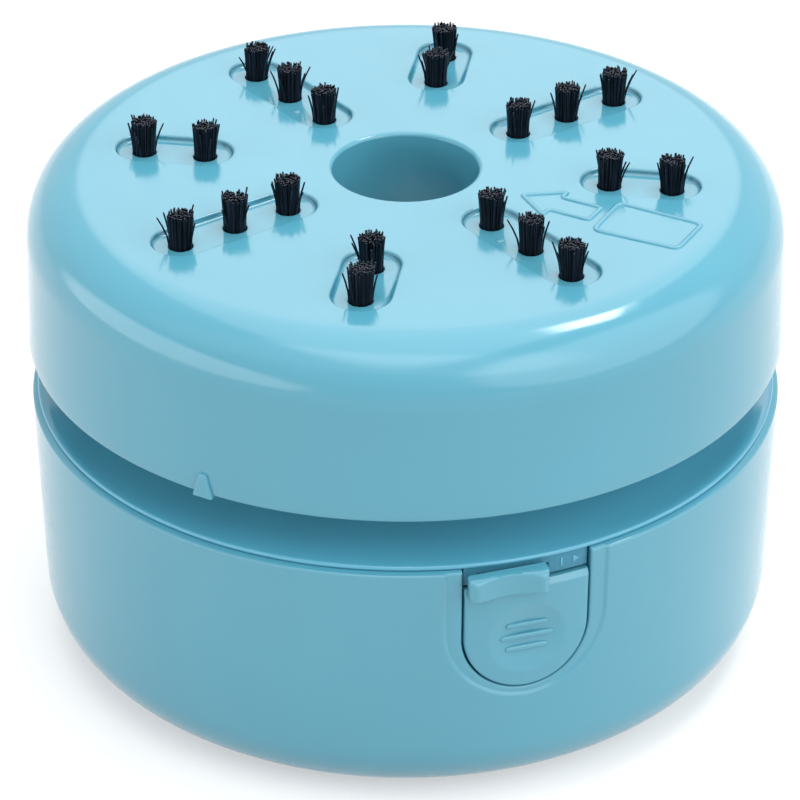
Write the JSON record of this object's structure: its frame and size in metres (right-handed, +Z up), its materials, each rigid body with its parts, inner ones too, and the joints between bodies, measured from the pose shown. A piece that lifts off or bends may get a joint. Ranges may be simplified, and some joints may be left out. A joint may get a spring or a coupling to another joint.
{
  "type": "desktop mini vacuum cleaner",
  "caption": "Round two-cell desk vacuum stood brush side up: brush base with suction hole and bristle tufts, waist with exhaust ports, thumb slide switch and latch button.",
  "frame": {"origin": "centre of the flat round face the vacuum stands on when it is put down brush side up", "axes": "+Z up through the suction hole, towards the bristles; -Y towards the push button and the slide switch"},
  "size_m": [0.086, 0.0873, 0.0617],
  "materials": {
    "shell_aqua": "glossy moulded ABS, light aqua",
    "bristle_black": "satin black nylon filament",
    "white_abs": "satin white ABS",
    "seal_rubber": "matt black rubber",
    "filter_felt": "white needled felt",
    "motor_steel": "zinc-plated pressed steel",
    "shaft_steel": "ground steel",
    "core_steel": "laminated electrical steel",
    "magnet_ferrite": "dark ferrite",
    "black_nylon": "moulded black nylon",
    "bronze": "sintered bronze",
    "contact_nickel": "nickel-plated spring steel",
    "screw_zinc": "zinc-plated screw",
    "cell_jacket": "plain printed cell jacket"
  },
  "bodies": {
    "housing": {"filter_frame": "white_abs", "filter_pad": "filter_felt", "fan_cover": "white_abs", "cover_screws": "screw_zinc", "mid_frame": "shell_aqua", "motor_can": "motor_steel", "motor_magnets": "magnet_ferrite", "motor_end_cap": "black_nylon", "front_bush": "bronze", "rear_bush": "bronze", "motor_brushes": "bronze", "battery_holder": "white_abs", "holder_screws": "screw_zinc", "cell_left": "cell_jacket", "cell_right": "cell_jacket", "link_plate": "contact_nickel", "positive_contact": "contact_nickel", "negative_contact": "contact_nickel", "cell_spring_left": "contact_nickel", "cell_spring_right": "contact_nickel", "switch_body": "motor_steel", "button_spring": "contact_nickel", "top_shell": "shell_aqua"},
    "brush_head": {"brush_base": "shell_aqua", "base_seal": "seal_rubber", "bristle_row_1": "bristle_black", "bristle_row_2": "bristle_black", "bristle_row_3": "bristle_black", "bristle_row_4": "bristle_black", "bristle_row_5": "bristle_black", "bristle_row_6": "bristle_black", "bristle_row_7": "bristle_black", "bristle_row_8": "bristle_black"},
    "rotor": {"impeller": "white_abs", "motor_shaft": "shaft_steel", "armature": "core_steel", "commutator": "bronze"},
    "knob": {"slide_knob": "shell_aqua", "switch_slider": "black_nylon"},
    "button": {"push_button": "shell_aqua"}
  },
  "joints": [
    {"name": "base_twist", "type": "hinge", "parent": "housing", "child": "brush_head", "pos_m": [0, 0, 0.0458], "axis": [0, 0, 1], "range_deg": [0, 22]},
    {"name": "fan_spin", "type": "hinge", "parent": "housing", "child": "rotor", "pos_m": [0, 0, 0.0319], "axis": [0, 0, 1], "continuous": true},
    {"name": "power_slide", "type": "slide", "parent": "housing", "child": "knob", "axis": [1, 0, 0], "range_m": [0, 0.0045]},
    {"name": "button_press", "type": "slide", "parent": "housing", "child": "button", "axis": [0, 1, 0], "range_m": [0, 0.0011], "stiffness_N_per_m": 400, "springref_m": -0.002, "deforming": ["button_spring"]}
  ]
}
